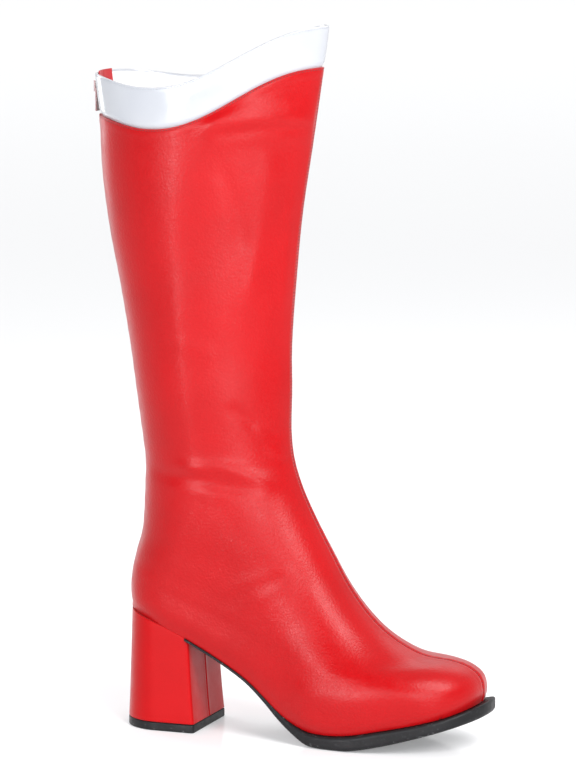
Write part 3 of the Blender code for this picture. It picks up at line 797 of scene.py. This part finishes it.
# White band at the collar
collarBand = {
    "rows": 30, "plainColumns": 82,
    "thick": 1.5, "edgeRound": 0.6,
    "swell": 0.35, "swellAt": 13.0, "swellHalf": 9.0,
    "edgeRows": (19.9, 19.93, 19.955, 19.975, 19.99),
    "stitchAt": 1.0, "channel": 0.18, "channelHalf": 0.8,
    # soft waves left by the sewing: side, x, width, rise
    "waves": (
        (outerSide, -20, 12, 0.3), (outerSide, 6, 10, -0.35), (outerSide, 34, 12, 0.3),
        (outerSide, 58, 9, -0.35), (outerSide, 80, 10, 0.35), (innerSide, -12, 12, -0.3),
        (innerSide, 18, 11, 0.3), (innerSide, 46, 12, -0.3), (innerSide, 74, 10, 0.3),
    ),
    "waveAt": 9.0, "waveHalf": 9.0, "stillFromSlit": 6.0,
}


def bandDepth(levels):
    # the stated depths, joined by an even curve
    places, depths = zip(*bandFace["depths"])
    around = np.linspace(-bandFace["blend"], bandFace["blend"], bandFace["blendSteps"])
    return np.interp(np.asarray(levels, float)[:, None] + around, places, depths).mean(axis=1)


def makeBand(finish):
    s = collarBand
    even = np.linspace(level["bandFoot"], level["collar"], s["rows"])
    levels = np.unique(np.concatenate([even, s["edgeRows"]]))
    grid = wallGrid(levels, s["plainColumns"], wall["ridgeFine"])
    points = grid["points"]
    below = belowTop(points)
    height = (s["swell"] * bell(below - s["swellAt"], s["swellHalf"])
              - s["channel"] * bell(below - s["stitchAt"], s["channelHalf"]))
    middle = bell(below - s["waveAt"], s["waveHalf"])
    for side, x, width, rise in s["waves"]:
        height += np.where(grid["side"] == side, rise * bell(points[..., 0] - x, width), 0) * middle
    height *= easeIn(grid["fromSlit"] / s["stillFromSlit"])
    height -= bandDepth(levels)[:, None]
    skin = points + grid["normals"] * height[..., None]
    piece = shapedGrid("collarBand", skin)
    thicken(piece, s["thick"], s["edgeRound"])
    finishPiece(piece, finish, nodes=("collar_band",))
    return {**grid, "points": skin, "normals": normalsOf(skin)}


# Cloth lining
lining = {
    "rows": 120, "plainColumns": 46, "foot": 0.25, "top": 19.95,
    "ease": 0.15, "thick": 0.4, "step": 0.4, "fade": 0.25,
    "slitShare": 1.7,       # its edge is turned back behind the slit's
}


def behindWall(levels, ease):
    # depth of a layer behind the upper's wall, and higher up behind the band
    rise = np.clip((np.asarray(levels) - level["bandFoot"]) / lining["step"] + 1, 0, 1)
    behind = bandDepth(levels) + collarBand["thick"]
    return ease + wall["thick"] + rise * (behind - wall["thick"])


def makeLining(finish):
    s = lining
    levels = evenLevels(s["foot"], s["top"], s["rows"], upperSkin["slitRows"])
    grid = wallGrid(levels, s["plainColumns"], wall["ridgeFine"], s["slitShare"])
    depth = behindWall(levels, s["ease"])[:, None]
    folds = np.where(levels[:, None] < level["redEdge"], wallRelief(grid), 0)
    under = easeIn((level["bandFoot"] - s["fade"] - levels) / s["fade"])[:, None]
    height = np.where(folds < 0, folds, folds * under) - depth      # no swell behind the band
    skin = closeBack(grid["points"] + grid["normals"] * height[..., None], grid["closed"])
    piece = shapedGrid("lining", skin)
    mergeDoubles(piece)
    thicken(piece, s["thick"])
    finishPiece(piece, finish)


# Insole
insoleSock = {"count": 120, "ease": 2.7, "lift": 2.8, "thick": 2.0, "edge": 0.7, "crown": 0.5}


def featherRing(count):
    reach = halfSection(level["feather"])[1][-1]
    out = np.linspace(0, reach, count + 1)
    return sectionPoints(level["feather"], np.concatenate([out, -out[-2:0:-1]]))


def onSole(points, lift):
    moved = points.copy()
    moved[:, 2] = soleAt("top", points[:, 0]) + lift
    return moved


def makeInsole(finish):
    s = insoleSock
    ring = featherRing(s["count"])
    rings = [onSole(inset(ring, s["ease"]), s["lift"])]
    for drop, shrink in quarterRound(s["edge"]):
        rings.append(onSole(inset(ring, s["ease"] + shrink), s["lift"] + s["thick"] - drop))
    piece = cappedLoft("insoleSock", rings, crown=s["crown"])
    finishPiece(piece, finish, nodes=("insole",))


# Outsole
outsole = {
    "back": 20.4, "tip": 216.6, "toeRound": 38.0, "toePower": 2.6,
    "count": 110, "spacing": 1.6, "topEdge": 1.9, "treadEdge": 2.2, "fullEdgeAt": 7.0, "sideRows": 5,
    "wearHeight": 9.0, "leastWear": 0.25, "highlightEdge": 0.9,
}


def soleOutline():
    # square across the skived end, then round the outer side, the toe and the inner side
    s = outsole
    run = 1 - (1 - np.linspace(0, 1, s["count"])) ** s["spacing"]
    x = s["back"] + run * (s["tip"] - s["back"])
    width = soleAt("half", x) * closing(s["tip"] - x, s["toeRound"], s["toePower"])
    mid = soleAt("mid", x)
    outer = np.stack([x, mid - width, np.zeros(len(x))], axis=1)
    inner = np.stack([x, mid + width, np.zeros(len(x))], axis=1)[-2::-1]
    return np.concatenate([[[s["back"], 0.0, 0.0]], outer, inner])


def soleRing(outline, shrink, share, lift):
    # share: 0 on the tread, 1 on the top face
    thick = soleAt("top", outline[:, 0]) - soleAt("bottom", outline[:, 0])
    thin = np.minimum(thick / outsole["fullEdgeAt"], 1.0)
    points = inset(outline, shrink * thin)
    points[:, 0] = np.maximum(points[:, 0], outsole["back"])
    low, high = soleAt("bottom", points[:, 0]), soleAt("top", points[:, 0])
    points[:, 2] = low + share * (high - low) + lift * thin
    return points


def setWearAndHighlight(piece, values):
    # how much each point is rubbed, with a painted highlight along the outsole's top edge, for the sole's
    # finish
    layer = piece.data.attributes.new("wearAndEdgeHighlight", "FLOAT", "POINT")
    layer.data.foreach_set("value", np.asarray(values, np.float32))


def meshPoints(piece):
    flat = np.zeros(len(piece.data.vertices) * 3)
    piece.data.vertices.foreach_get("co", flat)
    return flat.reshape(-1, 3) / mm


def makeOutsole(finish):
    s = outsole
    outline = soleOutline()
    tread, top = s["treadEdge"], s["topEdge"]
    rings = []
    for shrink, lift in quarterRound(tread):
        rings.append(soleRing(outline, shrink, 0.0, lift))
    for step in np.linspace(0, 1, s["sideRows"] + 2)[1:-1]:
        rings.append(soleRing(outline, 0.0, step, tread * (1 - step) - top * step))
    for drop, shrink in quarterRound(top):
        rings.append(soleRing(outline, shrink, 1.0, -drop))
    piece = cappedLoft("outsoleUnit", rings)
    points = meshPoints(piece)
    tall = points[:, 2] - soleAt("bottom", points[:, 0])
    edge = soleAt("top", points[:, 0]) - points[:, 2]
    rubbed = np.clip(1.0 - tall / s["wearHeight"], s["leastWear"], 1.0)
    # rubbed towards the tread, with a painted highlight along the top edge
    setWearAndHighlight(piece, np.maximum(rubbed, bell(edge, s["highlightEdge"])))
    finishPiece(piece, finish, nodes=("outsole",))


# Heel and its top lift
heel = {
    "back": -27.0, "front": 26.6, "half": 28.2,
    "topBack": -24.0, "topFront": 22.5, "topHalf": 27.3,
    "corner": 2.2, "backPower": 0.9, "flarePower": 0.8,
    "liftThick": 5.3, "gap": 0.3,
    "backSteps": 26, "sideSteps": 6, "cornerSteps": 7, "rows": 26, "edgeRound": 0.7,
    "breastStations": (20.0, 14.0, 8.0, 4.0, 2.2, 1.4, 0.9, 0.5, 0.25, 0.0),
    "seamDepth": 0.95, "seamHalf": 0.45, "lipRise": 0.2, "lipAt": 1.5, "lipHalf": 0.8,
    "rowEnds": (0.015, 0.985),
    "topRings": ((0.05, 0.0), (0.3, 0.25)),         # how far in, how far up
    "liftEdge": 0.6, "liftTopIn": 0.3,
    "liftRings": ((1.6, 0.0), (3.0, 0.0), (4.4, 0.0), (5.0, 0.05)),     # height, how far in
    "liftWear": 1.15, "wearHeight": 5.0, "leastWear": 0.3,
}


def heelOutline(back, front, half, breastSeam):
    # round back, straight sides, and a flat breast with small corners and the seam of its cover
    s = heel
    middle = (back + front) / 2
    turn = np.linspace(0, math.pi / 2, s["backSteps"])
    ledge = outsole["back"]
    side = np.linspace(middle, ledge - 2 * s["gap"], s["sideSteps"] + 1)[1:]
    side = np.concatenate([side, [ledge - s["gap"]]])
    corner = np.linspace(0, math.pi / 2, s["cornerSteps"])
    breast = np.array(s["breastStations"])
    groove = breastSeam * (s["lipRise"] * bell(breast - s["lipAt"], s["lipHalf"])
                           - s["seamDepth"] * bell(breast, s["seamHalf"]))
    x = np.concatenate([middle + (back - middle) * np.cos(turn), side,
                        front - s["corner"] * (1 - np.sin(corner)), front + groove])
    y = np.concatenate([half * np.sin(turn) ** s["backPower"], np.full(len(side), half),
                        half - s["corner"] * (1 - np.cos(corner)), breast])
    outer = np.stack([x, -y, np.zeros(len(x))], axis=1)
    inner = np.stack([x, y, np.zeros(len(x))], axis=1)[-2:0:-1]
    return np.concatenate([outer, inner])


def heelTop(x):
    # the seat, let down at the breast for the skived end of the outsole
    letIn = np.clip((x - outsole["back"] + 2 * heel["gap"]) / heel["gap"], 0, 1)
    return soleAt("top", x) - letIn * (soleAt("top", x) - soleAt("bottom", x) + heel["gap"])


def heelRing(share, shrink=0.0, lift=0.0):
    s = heel
    flare = share ** s["flarePower"]
    points = heelOutline(s["back"] + flare * (s["topBack"] - s["back"]),
                         s["front"] + flare * (s["topFront"] - s["front"]),
                         s["half"] + flare * (s["topHalf"] - s["half"]), 1.0)
    base = s["liftThick"] + s["gap"]
    points = inset(points, shrink)
    points[:, 2] = base + share * (heelTop(points[:, 0]) - base) + lift
    return points


def makeHeel(finish):
    s = heel
    rings = []
    for shrink, lift in quarterRound(s["edgeRound"], (0, 30, 60)):
        rings.append(heelRing(0.0, shrink, lift))
    for share in np.linspace(*s["rowEnds"], s["rows"]):
        rings.append(heelRing(share))
    for shrink, lift in s["topRings"]:
        rings.append(heelRing(1.0, shrink, lift))
    piece = cappedLoft("heelCover", rings)
    finishPiece(piece, finish, nodes=("heel_block",))


def makeLift(finish):
    s = heel
    outline = heelOutline(s["back"], s["front"], s["half"], 0.0)
    steps = [(height, shrink) for shrink, height in quarterRound(s["liftEdge"])]
    steps += [*s["liftRings"], (s["liftThick"], s["liftTopIn"])]
    rings = []
    for height, shrink in steps:
        ring = inset(outline, shrink)
        ring[:, 2] = height
        rings.append(ring)
    piece = cappedLoft("heelLift", rings)
    points = meshPoints(piece)
    setWearAndHighlight(piece, np.clip(s["liftWear"] - points[:, 2] / s["wearHeight"], s["leastWear"], 1.0))
    finishPiece(piece, finish, nodes=("top_lift",))


# Zip: two woven tapes and a coil of teeth; the slider and its pull keep their frame shapes
zipParts = {
    "ease": 0.7, "tapeThick": 0.7, "tapeHalf": 11.0, "parting": 0.3, "endRise": 1.0,
    "tapeRows": 130, "tapeColumns": 9,
    "coilLift": 0.3, "coilThick": 1.4, "coilHalf": 1.8, "coilEnd": 0.6,
    "toothPitch": 1.25, "toothSize": (1.15, 0.42, 0.55), "toothLean": 12.0, "toothAt": 0.72,
}


def backStrip(levels, offsets, depth):
    grid = np.array([sectionPoints(at, offsets) for at in levels])
    return grid - normalsOf(grid) * np.asarray(depth)[:, None, None]


def makeTapes(finish):
    s = zipParts
    levels = evenLevels(level["tapeFoot"], level["tapeTop"], s["tapeRows"])
    across = np.linspace(s["parting"], s["tapeHalf"], s["tapeColumns"])
    depth = behindWall(levels, s["ease"])
    grid = backStrip(levels, np.concatenate([-across[::-1], across]), depth)
    grid[-1, :, 2] += s["endRise"]
    count = s["tapeColumns"]
    for name, half, node in (("zipTapeInner", grid[:, :count], "zip_tape_inner"),
                             ("zipTapeOuter", grid[:, count:], "zip_tape_outer")):
        piece = shapedGrid(name, half)
        thicken(piece, s["tapeThick"])
        finishPiece(piece, finish, nodes=(node,))


def repeated(name, places, along, outward, template):
    # copies of one small mesh as a single joined mesh, each turned to its own place
    points, faces = template
    across = np.cross(outward, along)
    moved = (places[:, None] + points[None, :, :1] * along[:, None] + points[None, :, 1:2] * across[:, None]
             + points[None, :, 2:] * outward[:, None])
    count = len(points)
    allFaces = [[corner + k * count for corner in face] for k in range(len(places)) for face in faces]
    mesh = bpy.data.meshes.new(name)
    mesh.from_pydata((moved.reshape(-1, 3) * mm).tolist(), [], allFaces)
    mesh.validate()
    made = bpy.data.objects.new(name, mesh)
    bpy.context.scene.collection.objects.link(made)
    return made


def beadTemplate(size, segments=8, rings=5):
    # a sphere drawn out to half lengths along, across and outward
    bpy.ops.object.select_all(action="DESELECT")
    bpy.ops.mesh.primitive_uv_sphere_add(segments=segments, ring_count=rings, radius=1.0)
    bead = bpy.context.active_object
    points = np.array([corner.co[:] for corner in bead.data.vertices])
    faces = sorted(tuple(face.vertices) for face in bead.data.polygons)     # the sphere's order varies by run
    bpy.data.objects.remove(bead)
    turned = points[:, [2, 0, 1]]           # its pole lies along the bead
    return turned * np.array(size), faces


def unit(vectors):
    return vectors / np.linalg.norm(vectors, axis=-1, keepdims=True)


def pathAt(points, normals, pitch, trim, look=0.4):
    # places one pitch apart along a line, with its direction there and the surface's normal
    along = travelled(points)
    marks = np.arange(trim + pitch / 2, along[-1] - trim, pitch)
    forward = unit(between(marks + look, along, points) - between(marks - look, along, points))
    facing = between(marks, along, normals)
    facing = unit(facing - forward * (facing * forward).sum(axis=1, keepdims=True))
    return between(marks, along, points), forward, facing


def makeTeeth(finish):
    s = zipParts
    levels = evenLevels(level["coilFoot"], level["coilTop"], s["tapeRows"])
    depth = behindWall(levels, s["ease"]) - s["coilLift"] - s["coilThick"] / 2
    grid = backStrip(levels, (-s["coilHalf"], 0.0, s["coilHalf"]), depth)
    place, forward, facing = pathAt(grid[:, 1], normalsOf(grid)[:, 1], s["toothPitch"] / 2, s["coilEnd"])
    sideways = np.cross(facing, forward)
    left = np.where(np.arange(len(place)) % 2 == 0, 1.0, -1.0)[:, None]
    lean = math.tan(math.radians(s["toothLean"]))
    along = unit(sideways * left + forward * lean)
    piece = repeated("zipTeeth", place + sideways * left * s["toothAt"], along, facing,
                     beadTemplate(s["toothSize"], rings=6))
    smooth(piece)
    finishPiece(piece, finish, nodes=("zip_coil",))


def finishHardware(shadedEnamel):
    for name in ("zip_slider", "zip_pull"):
        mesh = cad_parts[name].data
        mesh.materials.clear()
        mesh.materials.append(shadedEnamel)


# Sewing
sewing = {
    "pitch": 2.1,
    "stitch": (0.75, 0.33, 0.28),   # half lengths along, across and outward
    "sink": 0.1,
    "zipStitchAt": 2.4,
    "seamEnd": 5.0,
}


def lineDown(grid, distances, value, side):
    # points down the rows where a column distance has one value, on one side of the boot
    points, normals = [], []
    for row in range(len(grid["points"])):
        chosen = np.flatnonzero(grid["side"][row] == side)
        order = chosen[np.argsort(distances[row, chosen])]
        key = distances[row, order]
        points.append(between(value, key, grid["points"][row, order]))
        normals.append(between(value, key, grid["normals"][row, order]))
    return np.array(points), np.array(normals)


def lineBelowTop(grid, distance):
    # points round the columns, one distance below the top edge
    below = belowTop(grid["points"])
    points, normals = [], []
    for column in range(grid["points"].shape[1]):
        key = below[::-1, column]
        points.append(between(distance, key, grid["points"][::-1, column]))
        normals.append(between(distance, key, grid["normals"][::-1, column]))
    return np.array(points), np.array(normals)


def sewLine(name, line, finish, template, trim=1.0):
    place, forward, facing = pathAt(*line, sewing["pitch"], trim)
    piece = repeated(name, place - facing * sewing["sink"], forward, facing, template)
    smooth(piece)
    finishPiece(piece, finish)
    return len(place)


def makeSewing(skin, band, shadedRedThread, greyThread):
    template = beadTemplate(sewing["stitch"])
    rim = lineBelowTop(band, collarBand["stitchAt"])
    count = sewLine("bandStitches", rim, greyThread, template)
    # stitches close under the fold, whose dark thread also stands for painted shade of its step
    fold = lineBelowTop(skin, upperSkin["foldStitchAt"])
    count += sewLine("edgeStitches", fold, shadedRedThread, template)
    opened = ~skin["closed"]
    slitRows = {key: (value[opened] if key != "closed" else value) for key, value in skin.items()}
    for side, word in ((outerSide, "Outer"), (innerSide, "Inner")):
        seam = lineDown(skin, skin["fromSeam"], relief["seamStitchAt"], side)
        count += sewLine("seamStitches" + word, seam, shadedRedThread, template,
                         sewing["seamEnd"])
        edge = lineDown(slitRows, slitRows["fromSlit"], sewing["zipStitchAt"], side)
        count += sewLine("zipStitches" + word, edge, shadedRedThread, template)
    print("sewing:", count, "stitches")


def main():
    addCamera()
    addLights()
    addFloor()
    print("studio: camera, floor and", len(studio["lights"]), "lights")
    red = redCoatedFabric()
    # the heel cover is the upper's fabric, its red painted lighter as painted light, with less gloss
    litHeelRed = redCoatedFabric("redHeelCoverLit", red=0.4, grain=0.9, stand=0.05, rough=(0.3, 0.4), gloss=0.13)
    black = blackSole()
    skin = makeUpper(red)
    band = makeBand(whitePatent())
    makeLining(liningCloth())
    makeInsole(liningCloth("insoleCloth", (0.8, 0.77, 0.72), (0.7, 0.67, 0.62)))
    makeOutsole(black)
    makeHeel(litHeelRed)
    makeLift(black)
    makeTapes(zipCloth())
    makeTeeth(zipNylon())
    finishHardware(shadedZipEnamel())
    # near-black red thread for the stitches; under the folded edge it also stands for painted shade of the
    # fold's step
    makeSewing(skin, band, thread("shadedRedThread", (0.09, 0.003, 0.005), (0.06, 0.002, 0.003)),
               thread("greyThread", (0.34, 0.35, 0.38), (0.26, 0.27, 0.3)))


main()
